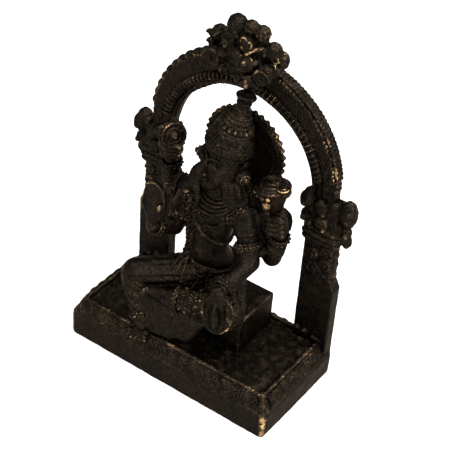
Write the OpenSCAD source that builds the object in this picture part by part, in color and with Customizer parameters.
// Seated four-armed temple figure on a stepped plinth, framed by an arch that lifts off its sockets.
// X runs across the front, +Y to the back and +Z up. The origin is the middle of the underside.

/* [Plinth] */
// Width of the plinth
base_w = 130; // [104:1:160]
// Depth of the plinth
base_d = 66; // [54:1:82]
// Height of the plain lower step
step_h = 15; // [12:0.5:20]
// Height of the sloping border above the step
border_h = 9; // [6:0.5:11]
// How far the border leans in
border_in = 5; // [3:0.5:6]
// Width of the border's flat top
border_top = 1.8; // [1.2:0.1:3]
// Depth of the deck below the border's top
deck_drop = 2.5; // [1.5:0.5:3]
// Corner radius of the plinth
corner_r = 2.5; // [2:0.5:5]
// Thickness of the deck over the hollow
deck_t = 6; // [5:0.5:8]
// Solid end left at each side of the hollow for the arch sockets
socket_end = 27; // [25:0.5:32]
// Wall in front of and behind the hollow
wall = 5; // [4:0.5:8]
// Relief height of the border's ornament
relief = 0.8; // [0.5:0.1:1.2]

/* [Seat] */
// Width of the seat block
seat_w = 54; // [46:1:60]
// Depth of the seat block
seat_d = 32; // [27:1:36]
// Height of the seat block
seat_h = 21.5; // [17:0.5:26]
// Radius of the studs that hold the seat to the deck
stud_r = 2.5; // [2:0.1:3.5]
// Clearance round the studs
stud_gap = 0.05; // [0.02:0.01:0.1]

/* [Arch] */
// Width of a post
post_w = 21; // [17:0.5:25]
// Depth of a post and of the arch band
post_d = 7; // [6:0.5:8.5]
// Distance from a post to the back of the plinth
post_back = 0.8; // [0.5:0.1:3]
// Distance from a post to the plinth's side
post_side = 0.8; // [0.5:0.1:3]
// Clearance of the posts and tenons in their sockets
socket_gap = 0.25; // [0.15:0.05:0.4]
// Width of the tenon under a post
tenon_w = 12; // [9:0.5:14]
// Length of the tenon under a post
tenon_h = 9; // [7:0.5:10]
// Height of a capital
capital_h = 34; // [28:1:38]
// Radial width of the arch band at its spring
band_w = 12.6; // [10:0.2:15]
// Rise of the band's outer curve over its inner one
band_rise = 4; // [2:0.5:5]
// Size of the scallops round the arch
scallop = 1.4; // [0.8:0.1:2]
// Size of the beads along the arch's inner edge
inner_bead = 1; // [0.7:0.1:1.4]
// Radius of the ribbed roll on the arch's face
roll_r = 2.1; // [1.6:0.1:2.5]
// How far the arch's crest mask rises over the band
mask_h = 25; // [18:0.5:28]
// Gap under the crest mask
mask_gap = 0.6; // [0.4:0.1:1.5]

/* [Figure] */
// Offset of the figure from the middle, to its left
fig_x = 3; // [-3:0.5:5]
// Height of the shoulders over the seat
torso_h = 61; // [51:0.5:74]
// Distance between the shoulder joints
shoulder_w = 32; // [28:0.5:37]
// Radius of the hips
hip_r = 12; // [10:0.5:14]
// Radius of the waist
waist_r = 10; // [8.5:0.5:12]
// Radius of the thighs at the knee
knee_r = 9.3; // [8:0.1:11]
// Radius of the ankles
ankle_r = 5; // [4.2:0.1:6]
// Radius of the arms at the shoulder
arm_r = 6.2; // [5.1:0.1:7.2]
// Radius of the wrists
wrist_r = 3.9; // [3.2:0.1:4.7]
// Length of a hand
hand_l = 24; // [20:0.5:29]
// Width of a hand
hand_w = 15; // [12.5:0.5:18]
// Width of the rear left fist, which the right one follows
fist_w = 14; // [11:0.5:16]
// Width of the head
head_w = 20.5; // [17:0.5:24]
// Height of the face from chin to crown band
face_h = 26; // [22:0.5:30]
// Radius of the crown's band
crown_r = 12; // [10:0.1:13.5]
// Height of the crown without its finial
crown_h = 22.5; // [19:0.5:27]
// Height of the finial
finial_h = 9; // [7:0.5:11]
// Backward tilt of the head and crown
crown_tilt = 9; // [4:0.5:12]
// Lean of the head and crown to the figure's left
head_lean = 9.5; // [0:0.5:12]
// Thickness of belt, bangles and necklaces
trim = 1.7; // [1.2:0.1:2.2]

/* [Halo] */
// Radius of the halo with its beads
halo_r = 24.5; // [21:0.5:29]
// Number of beads round the halo
halo_beads_n = 36; // [28:1:44]
// Thickness of the halo's rim
halo_t = 2.4; // [2:0.1:3]
// Radius of the peg that holds the halo
peg_r = 2; // [1.5:0.1:3]

/* [Hidden] */

BRONZE = [0.16, 0.14, 0.12];
BRONZE_DARK = [0.11, 0.10, 0.09];
BRONZE_WORN = [0.45, 0.36, 0.22];

// Levels of the plinth and the seat
rim_z = step_h + border_h;
deck_z = rim_z - deck_drop;
seat_top = deck_z + seat_h;
seat_y = base_d / 2 - 9 - seat_d / 2;
front_y = -base_d / 2;

// Joints of the body, each counted from the one before it
fig = [fig_x, seat_y, seat_top];
pelvis = fig + [-1, 0, hip_r - 2];
belly = fig + [-4, -4, torso_h / 2];
chest = fig + [-2.5, -4.5, torso_h - 7];
shoulders = fig + [0.5, -3.5, torso_h - 1];
shoulder_r = shoulders + [-shoulder_w / 2, -3.5, -2.5];
shoulder_l = shoulders + [shoulder_w / 2 - 2, 2.5, -3.5];
neck = fig + [1, -3, torso_h + 6];
head = neck + [-0.5, -0.5, face_h / 2 + 3.5];

// Legs: the right one hangs to the plinth's front edge, the left one lies folded on the seat
hip_right = pelvis + [-5, -5, 1];
knee_right = hip_right + [-26, -23, -1];
ankle_right = [knee_right[0] + 10, front_y + 5.5, rim_z + ankle_r + 1];
hip_left = pelvis + [10, -5, 0];
knee_left = hip_left + [14, -18, 0];
ankle_left = knee_left + [-32, -8, -2.5];

// Arms: the front right hand is raised, the front left one hangs over the knee
elbow_fr = shoulder_r + [-8, -2, -22];
wrist_fr = elbow_fr + [-2.5, -15, 8];
elbow_fl = shoulder_l + [9.5, -6, -22.5];
wrist_fl = knee_left + [-2, -4, 17];
shoulder_rr = shoulder_r + [0, 7.5, 2];
elbow_rr = shoulder_rr + [-19, 3, -11];
wrist_rr = elbow_rr + [0, -2.5, 20];
shoulder_rl = shoulder_l + [0, 5, -2];
elbow_rl = shoulder_rl + [15, 1, -21];
wrist_rl = elbow_rl + [6, -4.5, 21];

// Crown and halo
crown_up = [
    cos(crown_tilt) * sin(head_lean), sin(crown_tilt), cos(crown_tilt) * cos(head_lean)
];
crown_foot = head + (face_h / 2 - 3) * crown_up;
finial_top = crown_foot + (crown_h + finial_h) * crown_up;
halo_y = crown_foot[1] + crown_r + 3;
halo_c = [head[0] + 1, halo_y, head[2] + 0.5];
bead_r = PI * halo_r / halo_beads_n * 0.62;

// Arch: the posts stand at the plinth's back corners, and the band springs from their inner faces
post_y = base_d / 2 - post_back - post_d;
post_mid_y = post_y + post_d / 2;
post_in = base_w / 2 - post_side - post_w;
band_r = post_in + 0.2 + inner_bead;
arch_in_top = finial_top[2] - 8.2;
spring_z = arch_in_top - band_r;
band_out_r = band_r + band_w;
capital_z = spring_z - capital_h + 8;
sole_gap = 0.02;

// A post: where its shoulder lies between foot and capital, how far it narrows there, and how far
// its tenon stands in from its faces
post_shoulder = 0.62;
neck_in = 3.2;
tenon_in = 1.5;

// Facets round a limb, a finger, a bangle's ring, a bangle's wire and a carved lobe
limb_fn = 16;
finger_fn = 8;
bangle_fn = 20;
wire_fn = 6;
lobe_fn = 12;
round_fn = 256;

// ---------- helpers ----------

// One closed skin from everything inside
module moulded() resize([0, 0, 0]) children();

module ball(p, r, fn = limb_fn) translate(p) sphere(r, $fn = fn);

module limb(a, ra, b, rb, fn = limb_fn) hull() {
    ball(a, ra, fn);
    ball(b, rb, fn);
}

module egg(p, size, fn = 20) translate(p) scale(size / 2) sphere(1, $fn = fn);

// Turns the children's +Z to run along v
module along(v) rotate([0, acos(v[2] / norm(v)), atan2(v[1], v[0])]) children();

module ring(r, t, fn = bangle_fn) rotate_extrude($fn = fn) translate([r, 0]) circle(t, $fn = wire_fn);

// A bangle at the share s of the way from a to b, round a limb of radius r
module bangle(a, b, s, r, t) translate(a + s * (b - a)) along(b - a) ring(r, t);

module slab(w, d, h, r) hull() for (x = [-1, 1], y = [-1, 1])
    translate([x * (w / 2 - r), y * (d / 2 - r), 0]) cylinder(h, r = r, $fn = 32);

module both() {
    children();
    mirror([1, 0, 0]) children();
}

// ---------- plinth and seat ----------

// A post's socket: the post rests on its floor, and the tenon stands clear of its own slot
module post_pocket(gap) {
    translate([post_in - gap, post_y - gap, step_h])
        cube([post_w + 2 * gap, post_d + 2 * gap, 4 * border_h]);
    translate([post_in + (post_w - tenon_w) / 2 - gap, post_y + tenon_in - gap, step_h - tenon_h - gap])
        cube([tenon_w + 2 * gap, post_d - 2 * tenon_in + 2 * gap, tenon_h + 2 * gap]);
}

module stud_places() for (x = [-1, 1]) translate([fig_x + x * seat_w / 3, seat_y, 0]) children();

module border() hull() {
    translate([0, 0, step_h]) slab(base_w, base_d, 0.01, corner_r);
    translate([0, 0, rim_z - 0.01])
        slab(base_w - 2 * border_in, base_d - 2 * border_in, 0.01, corner_r);
}

module plinth() color(BRONZE) difference() {
    union() {
        slab(base_w, base_d, step_h, corner_r);
        border();
    }
    translate([0, 0, deck_z])
        slab(base_w - 2 * (border_in + border_top), base_d - 2 * (border_in + border_top), border_h, 2);
    translate([socket_end - base_w / 2, wall + front_y, -1])
        cube([base_w - 2 * socket_end, base_d - 2 * wall, deck_z - deck_t + 1]);
    both() post_pocket(socket_gap);
    stud_places() cylinder(rim_z, r = stud_r + stud_gap, $fn = 48);
}

// A raised strip along a slope that runs from the step's edge at y = -d / 2 up and in
module strip(l, d) {
    slope = atan2(border_h, border_in);
    run = norm([border_h, border_in]);
    translate([-l / 2, -d / 2, step_h]) rotate([slope, 0, 0])
        translate([0, run * 0.14, sole_gap]) cube([l, run * 0.72, relief]);
}

module front_strip() strip(base_w - 2 * (corner_r + border_in) - 1, base_d);

module border_frieze() color(BRONZE_WORN) {
    corner = 2 * (corner_r + border_in) + 1;
    front_strip();
    for (side = [-1, 1]) rotate([0, 0, side * 90])
        translate([side * (post_y + front_y) / 2, 0, 0])
            strip(post_y - front_y - corner, base_w);
    rotate([0, 0, 180]) strip(2 * post_in - 4, base_d);
}

module seat_block() color(BRONZE) difference() {
    translate([fig_x, seat_y, deck_z]) slab(seat_w, seat_d, seat_h, 1.2);
    stud_places() translate([0, 0, deck_z]) cylinder(seat_h / 2, r = stud_r + stud_gap, $fn = 48);
}

// Each stud runs from the middle of the seat to a flattened head under the deck
module seat_studs() color(BRONZE_DARK) stud_places() {
    translate([0, 0, deck_z - deck_t]) cylinder(deck_t + seat_h / 2 - 0.5, r = stud_r, $fn = 48);
    translate([0, 0, deck_z - deck_t - 1.5]) cylinder(1.5, r = stud_r + 1.5, $fn = 48);
}

// ---------- body ----------

module torso_shape() {
    egg(pelvis + [0, 0, -1], [2.35 * hip_r, 1.9 * hip_r, 2.1 * hip_r]);
    hull() {
        egg(pelvis + [0, 0, 5], [2.1 * hip_r, 1.7 * hip_r, 8]);
        egg(belly, [2.1 * waist_r, 1.8 * waist_r, 16]);
    }
    hull() {
        egg(belly, [2.1 * waist_r, 1.8 * waist_r, 16]);
        egg(chest, [shoulder_w * 0.84, 17, 18]);
    }
    hull() {
        ball(shoulder_r, arm_r + 1.2);
        egg(chest + [0, 0, 2], [shoulder_w * 0.8, 16, 14]);
        ball(shoulder_l, arm_r + 1.2);
    }
    limb(shoulders, arm_r + 1.6, neck, 5.4);
}

module under_seat() translate([-base_w, -base_w, seat_top - 2 * base_w])
    cube(2 * base_w);

module torso() color(BRONZE) moulded() difference() {
    torso_shape();
    under_seat();
}

// The head's own frame: its middle at the origin, tilted back and to the figure's left
module nod() translate(head) rotate([-crown_tilt, head_lean, 0]) children();

module head_shape() {
    limb(neck - [0, 0, 1], 4.9, head - [0, 0, 4], 5.4);
    nod() {
        egg([0, 0, 0], [head_w, head_w + 1, face_h + 2], 24);
        hull() {
            ball([0, -5, -face_h / 2 + 2.4], 3.3);
            egg([0, -1, -2], [head_w * 0.86, head_w * 0.86, face_h * 0.8]);
        }
    }
    limb(head + [-8, 3, -7], 4, shoulder_r + [1.5, 1.5, 6], 3.2, lobe_fn);
    limb(head + [8, 3, -7], 4, shoulder_l + [-2.5, 0, 5], 3.2, lobe_fn);
}

module neck_and_head() color(BRONZE) moulded() difference() {
    head_shape();
    torso_shape();
}

// Half profile of the crown: a band and four stepped tiers up to the finial
function crown_profile() = concat(
    [[0, 0], [crown_r, 0], [crown_r + 0.7, 1], [crown_r + 0.5, 3.2], [crown_r - 0.6, 3.8]],
    [for (i = [0:3], side = [0, 1])
        let (s = (i + 0.9 * side) / 4, top = 4.2)
        [top + (crown_r - 0.9 - top) * (1 - pow(s, 1.3)) + (side == 0 ? 0.6 : 0),
            4 + (crown_h - 5) * s]],
    [[4, crown_h], [0, crown_h]]
);

module crown_shape() translate(crown_foot) along(crown_up)
    rotate_extrude($fn = 26) polygon(crown_profile());

module crown() color(BRONZE) moulded() difference() {
    crown_shape();
    head_shape();
}

module crown_finial() color(BRONZE_DARK) translate(crown_foot + crown_h * crown_up) along(crown_up)
    rotate_extrude($fn = 32) polygon([
        [0, 0], [4, 0], [3.4, 0.3 * finial_h], [3.7, 0.55 * finial_h],
        [4.8, 0.82 * finial_h], [4.6, finial_h], [0, finial_h]
    ]);

module earring(side) color(BRONZE_WORN) moulded() difference() {
    nod() translate([side * (head_w / 2 + 0.8), 1, 0]) rotate([0, 90, 0]) {
        cylinder(3.2, r = 3.7, center = true, $fn = 24);
        translate([0, 0, side * 1.6]) sphere(1.9, $fn = lobe_fn);
        translate([4.6, 0, 0]) sphere(1.8, $fn = lobe_fn);
    }
    head_shape();
    torso_shape();
    crown_shape();
}

module earring_right() earring(-1);
module earring_left() earring(1);

module necklace_shape() {
    translate(neck + [0, -1, -3]) rotate([18, 0, 0]) scale([1.05, 1, 1]) ring(7.2, trim, 26);
    translate(chest + [0, -1, 6.5]) rotate([38, -4, 0]) scale([1, 0.95, 1]) ring(11, trim, 30);
    egg(chest + [-0.5, -9, -1.5], [5.5, 4, 7], 16);
}

module necklaces() color(BRONZE_WORN) moulded() difference() {
    necklace_shape();
    torso_shape();
    head_shape();
    arm_shapes();
}

module thread_shape() translate((chest + belly) / 2 + [1, 0, 4]) rotate([4, 42, 0])
    scale([1.28, 1, 1]) cylinder(2.2, r = 11.2, center = true, $fn = 36);

module sacred_thread() color(BRONZE_WORN) moulded() difference() {
    thread_shape();
    torso_shape();
    necklace_shape();
    arm_shapes();
}

module belt_shape() {
    translate(pelvis + [0.3, -1, 9]) rotate([4, 0, 0]) scale([1.12, 0.95, 1])
        cylinder(5, r = waist_r + trim + 0.8, center = true, $fn = 36);
    egg(pelvis + [-0.5, -11.5, 8], [7, 5, 8], 16);
}

module belt() color(BRONZE_WORN) moulded() difference() {
    belt_shape();
    torso_shape();
    leg_shapes();
}

// ---------- arms and hands ----------

module arm_shape(s, e, w) {
    limb(s, arm_r, e, arm_r - 1);
    limb(e, arm_r - 1, w, wrist_r);
}

module arm_fr_shape() arm_shape(shoulder_r, elbow_fr, wrist_fr);
module arm_fl_shape() arm_shape(shoulder_l, elbow_fl, wrist_fl);
module arm_rr_shape() arm_shape(shoulder_rr, elbow_rr, wrist_rr);
module arm_rl_shape() arm_shape(shoulder_rl, elbow_rl, wrist_rl);

module arm_shapes() {
    arm_fr_shape();
    arm_fl_shape();
    arm_rr_shape();
    arm_rl_shape();
}

module front_arm() color(BRONZE) moulded() difference() {
    children();
    torso_shape();
    leg_shapes();
}

module front_right_arm() front_arm() arm_fr_shape();
module front_left_arm() front_arm() arm_fl_shape();

module rear_right_arm() color(BRONZE) moulded() difference() {
    arm_rr_shape();
    torso_shape();
    head_shape();
    arm_fr_shape();
}

module rear_left_arm() color(BRONZE) moulded() difference() {
    arm_rl_shape();
    torso_shape();
    head_shape();
    arm_fl_shape();
}

// An open hand: the wrist at the origin, fingers along +Z, the palm facing -Y
module open_hand() {
    palm_l = hand_l * 0.5;
    finger_r = hand_w / 8;
    hull() {
        ball([0, 0, 1], wrist_r, 12);
        egg([0, 0, palm_l * 0.62], [hand_w, 5.6, palm_l], 16);
    }
    for (i = [-1.5:1:1.5]) limb(
        [i * hand_w / 4.4, 0, palm_l * 0.8], finger_r + 0.4,
        [i * hand_w / 4.8, -0.6, hand_l - finger_r - abs(i) * 1.2], finger_r, finger_fn
    );
}

module thumb(side) limb([side * hand_w * 0.36, -1, hand_l * 0.24], 2.1,
    [side * hand_w * 0.42, -3.6, hand_l * 0.55], 1.7, finger_fn);

// A closed hand that grips a stem: the wrist at the origin, the fingers folded one over the other
module closed_hand(size) {
    egg([0, 0, size * 0.5], [size, size * 0.95, size * 1.15], 14);
    for (i = [0:3]) limb([-size * 0.36, -size * 0.36, size * (0.22 + 0.2 * i)], size * 0.14,
        [size * 0.36, -size * 0.32, size * (0.26 + 0.2 * i)], size * 0.13, finger_fn);
}

module hand_fr_shape() translate(wrist_fr + [0, 0, 3]) rotate([-4, 2, -8]) {
    open_hand();
    thumb(1);
}

module hand_fl_shape() translate(wrist_fl + [0, -3, 1]) rotate([8, 176, 22]) {
    open_hand();
    thumb(-1);
}

module hand_rr_shape() translate(wrist_rr + [0.3, 0, 1.5]) rotate([0, 4, 8]) closed_hand(fist_w * 0.8);
module hand_rl_shape() translate(wrist_rl + [-0.4, 0, 0]) rotate([0, -8, -12]) closed_hand(fist_w);

module front_right_hand() color(BRONZE) moulded() difference() {
    hand_fr_shape();
    arm_fr_shape();
    leg_shapes();
}

module front_left_hand() color(BRONZE) moulded() difference() {
    hand_fl_shape();
    arm_fl_shape();
    leg_shapes();
}

module rear_right_hand() color(BRONZE) moulded() difference() {
    hand_rr_shape();
    arm_rr_shape();
}

module rear_left_hand() color(BRONZE) moulded() difference() {
    hand_rl_shape();
    arm_rl_shape();
}

module disc_emblem() color(BRONZE_WORN) moulded() difference() {
    translate(wrist_rr + [1, -1.5, fist_w + 1.4]) rotate([0, 70, -28]) {
        cylinder(4.6, r = 6.8, center = true, $fn = 28);
        sphere(3.6, $fn = lobe_fn);
    }
    hand_rr_shape();
    arm_rr_shape();
}

// A ribbed cup that widens upwards, with a bulb on its rim and a boss on its front
module bud_emblem() color(BRONZE_WORN) moulded() difference() {
    translate(wrist_rl + [-5, -0.5, fist_w + 1]) rotate([0, -8, 0]) {
        hull() {
            translate([0, 0, -1]) sphere(4.2, $fn = limb_fn);
            translate([0, 0, 11]) scale([1, 1, 0.42]) sphere(8.6, $fn = 20);
        }
        translate([7.5, -1, 11.5]) sphere(3.6, $fn = lobe_fn);
        translate([0.5, -6.5, 4.5]) sphere(2.6, $fn = lobe_fn);
    }
    hand_rl_shape();
    arm_rl_shape();
    at_halo() cylinder(halo_t, r = halo_r + 0.4, $fn = 40);
}

// Each arm as shoulder, elbow, wrist and the place of its armlet along the upper arm
ARMS = [
    [shoulder_r, elbow_fr, wrist_fr, 0.42], [shoulder_l, elbow_fl, wrist_fl, 0.62],
    [shoulder_rr, elbow_rr, wrist_rr, 0.6], [shoulder_rl, elbow_rl, wrist_rl, 0.75]
];

module armlet_rings() for (a = ARMS) bangle(a[0], a[1], a[3], arm_r - 0.5, trim);

module bracelet_rings() for (a = ARMS) bangle(a[1], a[2], 0.86, wrist_r + 0.2, trim);

module armlets() color(BRONZE_WORN) moulded() difference() {
    armlet_rings();
    torso_shape();
    arm_shapes();
    thread_shape();
    leg_shapes();
}

module bracelets() color(BRONZE_WORN) moulded() difference() {
    bracelet_rings();
    arm_shapes();
    leg_shapes();
    hand_fr_shape();
    hand_fl_shape();
    hand_rr_shape();
    hand_rl_shape();
}

// ---------- legs, feet and cloth ----------

module leg_right_shape() {
    limb(hip_right, hip_r - 1, knee_right, knee_r);
    limb(knee_right, knee_r, ankle_right, ankle_r);
}

module leg_left_shape() {
    limb(hip_left, hip_r - 1, knee_left, knee_r);
    limb(knee_left, knee_r, ankle_left, ankle_r);
}

module leg_shapes() {
    leg_right_shape();
    leg_left_shape();
}

module seat_space() translate([fig_x - seat_w / 2, seat_y - seat_d / 2, 0]) cube([seat_w, seat_d, seat_top]);

module leg_cuts() {
    torso_shape();
    seat_space();
}

module right_leg() color(BRONZE) moulded() difference() {
    leg_right_shape();
    leg_cuts();
}

module left_leg() color(BRONZE) moulded() difference() {
    leg_left_shape();
    leg_cuts();
    leg_right_shape();
}

// A foot: the heel at the origin and the toes towards +X
module foot_shape() {
    hull() {
        ball([0, 0, 0], 4.4, lobe_fn);
        egg([8.5, 0, -1], [10, 9.4, 5.2], lobe_fn);
    }
    for (i = [-2:2]) limb([10.5, i * 2, -1.2], 1.5, [14.6 - abs(i + 1) * 0.7, i * 2.05, -1.6],
        i == -2 ? 1.8 : 1.4, finger_fn);
}

module foot_right_shape() translate([ankle_right[0] - 0.5, front_y + 10.5, rim_z + 3.4])
    rotate([24, 0, 0]) rotate([0, 0, -90]) scale([0.86, 1.2, 1.15]) foot_shape();

module foot_left_shape() translate(ankle_left + [-1.5, 0, 0.5]) rotate([0, -8, 188])
    rotate([35, 0, 0]) scale([0.88, 1, 1]) foot_shape();

module right_foot() color(BRONZE_WORN) moulded() difference() {
    foot_right_shape();
    leg_right_shape();
    plinth_top();
    front_strip();
    seat_space();
}

module left_foot() color(BRONZE_WORN) moulded() difference() {
    foot_left_shape();
    leg_shapes();
}

module plinth_top() {
    slab(base_w, base_d, step_h, corner_r);
    border();
}

module anklets() color(BRONZE_WORN) moulded() difference() {
    union() {
        bangle(knee_right, ankle_right, 0.84, ankle_r + 0.6, trim);
        bangle(knee_left, ankle_left, 0.86, ankle_r + 0.6, trim);
    }
    leg_shapes();
    foot_right_shape();
    foot_left_shape();
    plinth_top();
    cloth_shape();
}

// The cloth end that hangs from the folded shin, in two broad folds
module cloth_shape() {
    top = ankle_left + [4, -1, -3];
    hem = rim_z + 3;
    hull() {
        ball([ankle_right[0], top[1] - 1, top[2]], 4);
        ball([ankle_right[0] + 4, ankle_right[1] + 0.5, hem + 4.5], 4);
        ball([ankle_right[0] + 13, top[1] - 2, hem + 3.4], 3.4);
        ball(top + [2, 0, -2], 3.4);
    }
    hull() {
        ball(top + [2, 0, -2], 3.4);
        ball([ankle_right[0] + 15, top[1] - 2, hem + 3.6], 3.4);
        ball([ankle_right[0] + 27, top[1], hem + 6], 3.4);
        ball(top + [19, 0, 1], 3);
    }
}

module cloth_fall() color(BRONZE) moulded() difference() {
    cloth_shape();
    leg_shapes();
    foot_left_shape();
    foot_right_shape();
    plinth_top();
}

// ---------- halo ----------

module at_halo() translate(halo_c) rotate([-90, 0, 0]) children();

// A dished disc with a raised rim, bored for its peg
module halo_disc() color(BRONZE_DARK) at_halo() rotate_extrude($fn = 96) {
    r = halo_r - 2 * bead_r;
    polygon([
        [peg_r, 0.8], [r - 4, 0.8], [r - 3, 0], [r, 0], [r, halo_t], [peg_r, halo_t]
    ]);
}

module halo_beads() color(BRONZE) at_halo() linear_extrude(halo_t) difference() {
    union() {
        circle(halo_r - bead_r, $fn = 96);
        for (i = [0:halo_beads_n - 1]) rotate(i * 360 / halo_beads_n)
            translate([halo_r - bead_r, 0]) circle(bead_r, $fn = 24);
    }
    circle(halo_r - 2 * bead_r + sole_gap, $fn = 96);
}

// The peg runs from the back of the crown through the disc
module halo_peg() color(BRONZE_DARK) moulded() difference() {
    translate([halo_c[0], crown_foot[1], halo_c[2]]) rotate([-90, 0, 0])
        cylinder(halo_y - crown_foot[1] + halo_t, r = peg_r - sole_gap, $fn = 32);
    crown_shape();
    head_shape();
}

// ---------- arch ----------

module post() {
    top = capital_z;
    shoulder = step_h + (top - step_h) * post_shoulder;
    side = post_in + post_w;
    translate([0, post_mid_y + post_d / 2, 0]) rotate([90, 0, 0]) linear_extrude(post_d) polygon([
        [post_in, step_h], [side, step_h], [side, shoulder],
        [side - neck_in, shoulder + 2 * neck_in], [side - neck_in, top], [post_in, top]
    ]);
    translate([post_in + (post_w - tenon_w) / 2, post_y + tenon_in, step_h - tenon_h])
        cube([tenon_w, post_d - 2 * tenon_in, tenon_h + 1]);
}

module post_left() color(BRONZE) post();
module post_right() color(BRONZE) mirror([1, 0, 0]) post();

// A capital of carved leaves: a core block with bulbs to each side and a drop at its outer corner
module capital_shape() {
    mid = post_in + post_w / 2;
    top = capital_z + capital_h;
    translate([post_in + 1.5, post_y - 0.8, capital_z])
        cube([post_w - 5, post_d + 1.6, capital_h - 8 + band_r - sqrt(band_r * band_r - 16)]);
    egg([post_in - 0.5, post_mid_y, top - 11.5], [10.5, 10.5, 14], lobe_fn);
    egg([post_in - 0.2, post_mid_y, top - 21], [8, 9, 9], lobe_fn);
    egg([post_in + post_w + 0.4, post_mid_y, top - 12], [10.5, 10.5, 17], lobe_fn);
    limb([post_in + post_w - 2, post_mid_y, top - 22], 4.4,
        [post_in + post_w + 1.6, post_mid_y, top - 29], 3, lobe_fn);
    egg([mid - 2.6, post_y - 0.8, top - 11], [9, 6, 9], lobe_fn);
    egg([mid - 1, post_y - 0.6, top - 20.5], [8, 5.6, 8.4], lobe_fn);
    egg([mid, post_y - 0.4, top - 29], [13, 5, 6], lobe_fn);
}

module capital() moulded() difference() {
    capital_shape();
    band_shape();
    translate([0, post_mid_y - 20, 0]) cube([base_w, 40, capital_z]);
}

module capital_left() color(BRONZE_WORN) capital();
module capital_right() color(BRONZE_WORN) mirror([1, 0, 0]) capital();

// The plane of the arch, with x across and y up from the spring line
module arch_plane(y0, t) translate([0, y0 + t, spring_z]) rotate([90, 0, 0]) linear_extrude(t) children();

module upper_half() translate([-base_w, 0]) square([2 * base_w, 2 * base_w]);

module band_shape() arch_plane(post_y, post_d) intersection() {
    difference() {
        union() {
            circle(band_out_r, $fn = round_fn);
            translate([0, band_rise]) circle(band_out_r, $fn = round_fn);
        }
        circle(band_r, $fn = round_fn);
    }
    upper_half();
}

module arch_band() color(BRONZE) band_shape();

// A row of round lobes along an arc of radius r about height y, from angle a0 to its mirror image
module lobes(r, y, size, a0) {
    n = floor(PI * r * (180 - 2 * a0) / 180 / (1.7 * size));
    for (i = [0:n]) translate([0, y]) rotate(a0 + (180 - 2 * a0) * i / n)
        translate([r, 0]) circle(size, $fn = 20);
}

module arch_inner_scallops() color(BRONZE_DARK) arch_plane(post_y + 1, post_d - 2) difference() {
    union() {
        lobes(band_r, 0, inner_bead, 12);
        intersection() {
            difference() {
                circle(band_r, $fn = round_fn);
                circle(band_r - 0.4 * inner_bead, $fn = round_fn);
            }
            translate([-base_w, band_r * sin(12)]) square(2 * base_w);
        }
    }
    difference() {
        circle(band_r + 9, $fn = round_fn);
        circle(band_r - sole_gap, $fn = round_fn);
    }
}

module arch_outer_scallops() color(BRONZE_WORN) arch_plane(post_y + 0.6, post_d - 1.2) difference() {
    union() {
        lobes(band_out_r + 0.3, band_rise, scallop, 10);
        intersection() {
            translate([0, band_rise]) difference() {
                circle(band_out_r + 0.7, $fn = round_fn);
                circle(band_out_r, $fn = round_fn);
            }
            translate([-base_w, band_rise + band_out_r * sin(10)]) square(2 * base_w);
        }
    }
    translate([0, band_rise]) circle(band_out_r + sole_gap, $fn = round_fn);
}

// The ribbed roll that follows the inner side of the band's face
module arch_roll() color(BRONZE_WORN) translate([0, post_y, spring_z]) rotate([90, 0, 0])
    rotate([0, 0, 14]) rotate_extrude(angle = 152, $fn = 96)
        translate([band_r + band_w * 0.34, 0]) intersection() {
            circle(roll_r, $fn = 24);
            translate([-roll_r, sole_gap]) square(2 * roll_r);
        }

// Lobes of the crest mask: across, out from the band's middle, up from the band's top, width, height
MASK_LOBES = [
    [-3.5, -9.5, 0.84, 11, 12], [4.5, -9.5, 0.9, 8.5, 8], [10.5, -8.5, 0.84, 8.5, 9],
    [-15, -7, 0.46, 9, 9], [16.5, -7, 0.52, 9.5, 10], [21.5, -6, 0.38, 7, 10],
    [-5.5, -11, 0.5, 8, 13], [5, -12, 0.58, 9, 9], [0, -12.5, 0.3, 8, 7],
    [8.5, -13, -0.17, 9, 9], [1.5, -11.5, -0.22, 7, 6], [13.5, -10, -0.02, 8, 8],
    [15, -8.5, 0.06, 12, 12], [-15, -8, 0, 11, 11], [8, -11.5, 0.26, 9, 6], [-8.5, -11, 0.2, 9, 6],
    [5, -8.5, -0.2, 9.5, 8], [-7, -8.5, -0.18, 9, 8], [-18, -6, 0.18, 8, 9]
];

// The crest: a lion mask of rounded lobes that leans out over the crown
module mask_shape() {
    top = spring_z + band_rise + band_out_r;
    hull() {
        egg([0, post_mid_y - 4.5, top - 2], [31, 15, 20], 20);
        egg([2, post_mid_y - 5.5, top + mask_h * 0.62], [19, 13, 14], 20);
    }
    for (l = MASK_LOBES)
        egg([l[0], post_mid_y + l[1], top + l[2] * mask_h], [l[3], l[3], l[4]], 10);
}

module crest_mask() color(BRONZE_WORN) moulded() difference() {
    mask_shape();
    band_solid();
    translate([finial_top[0] - 8, post_y - 4 * post_d, 0]) cube([16, 4 * post_d, finial_top[2] + mask_gap]);
}

// The whole arch front to back with its scallops, which the crest sits on
module band_solid() arch_plane(post_y - roll_r - 0.05, post_d + roll_r + 0.1) union() {
    translate([0, band_rise]) circle(band_out_r + 2.2, $fn = 96);
    circle(band_r, $fn = 96);
}

plinth();
border_frieze();
seat_block();
seat_studs();
torso();
neck_and_head();
crown();
crown_finial();
earring_right();
earring_left();
necklaces();
sacred_thread();
belt();
armlets();
bracelets();
anklets();
front_right_arm();
front_right_hand();
front_left_arm();
front_left_hand();
rear_right_arm();
rear_right_hand();
rear_left_arm();
rear_left_hand();
disc_emblem();
bud_emblem();
right_leg();
right_foot();
left_leg();
left_foot();
cloth_fall();
halo_disc();
halo_beads();
halo_peg();
post_right();
post_left();
capital_right();
capital_left();
arch_band();
arch_inner_scallops();
arch_outer_scallops();
arch_roll();
crest_mask();
